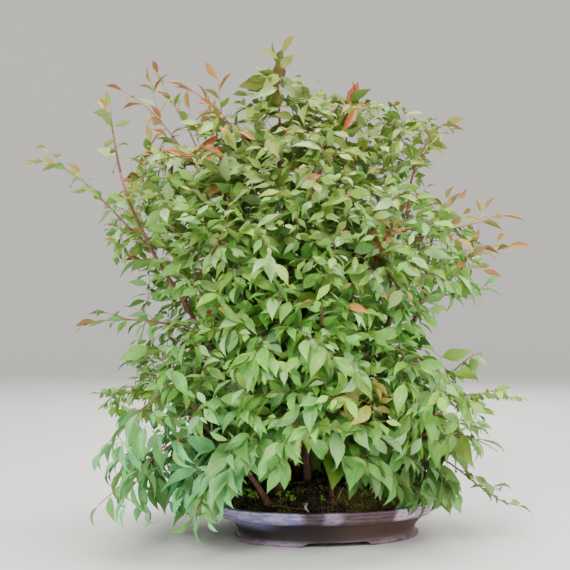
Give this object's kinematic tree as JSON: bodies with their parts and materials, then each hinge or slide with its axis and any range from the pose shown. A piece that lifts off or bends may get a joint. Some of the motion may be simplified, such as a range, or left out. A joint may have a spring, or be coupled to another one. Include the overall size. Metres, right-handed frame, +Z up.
{
  "type": "bonsai tree, stewartia clump in a pot",
  "caption": "Tall stewartia bonsai: a clump of slim cinnamon-barked stems with drooping green leafy shoots and copper tips, in a shallow oval unglazed clay pot.",
  "frame": {"origin": "on the floor that the pot stands on, under the middle of the whole plant's outer box", "axes": "+Z up, +X to the right along the pot's long side as seen from the front, +Y to the back"},
  "size_m": [0.7064, 0.445, 0.6886],
  "materials": {
    "clay": "unglazed brown clay with a faint mauve-grey haze",
    "soil": "dark granular soil with olive moss",
    "mesh": "matt dark plastic mesh",
    "bark": "thin smooth cinnamon bark",
    "leaf": "soft semi-gloss living leaves, olive to blue-green, with copper young tips"
  },
  "bodies": {
    "root": {"pot": "clay", "soil": "soil", "drain_mesh_left": "mesh", "drain_mesh_right": "mesh", "stem_01": "bark", "stem_02": "bark", "stem_03": "bark", "stem_04": "bark", "stem_05": "bark", "stem_06": "bark", "stem_07": "bark", "stem_08": "bark", "stem_09": "bark", "stem_10": "bark", "stem_11": "bark", "spray_01": "leaf", "spray_02": "leaf", "spray_03": "leaf", "spray_04": "leaf", "spray_05": "leaf", "spray_06": "leaf", "spray_07": "leaf", "spray_08": "leaf", "spray_09": "leaf", "spray_10": "leaf", "spray_11": "leaf", "spray_12": "leaf", "spray_13": "leaf", "spray_14": "leaf", "spray_15": "leaf", "spray_16": "leaf", "spray_17": "leaf", "spray_18": "leaf", "spray_19": "leaf", "spray_20": "leaf", "spray_21": "leaf", "spray_22": "leaf", "spray_23": "leaf", "spray_24": "leaf", "spray_25": "leaf", "spray_26": "leaf", "spray_27": "leaf", "spray_28": "leaf", "spray_29": "leaf", "spray_30": "leaf", "spray_31": "leaf", "spray_32": "leaf", "spray_33": "leaf", "spray_34": "leaf", "spray_35": "leaf", "spray_36": "leaf", "spray_37": "leaf", "spray_38": "leaf", "spray_39": "leaf", "spray_40": "leaf", "spray_41": "leaf", "spray_42": "leaf", "spray_43": "leaf"}
  },
  "joints": []
}
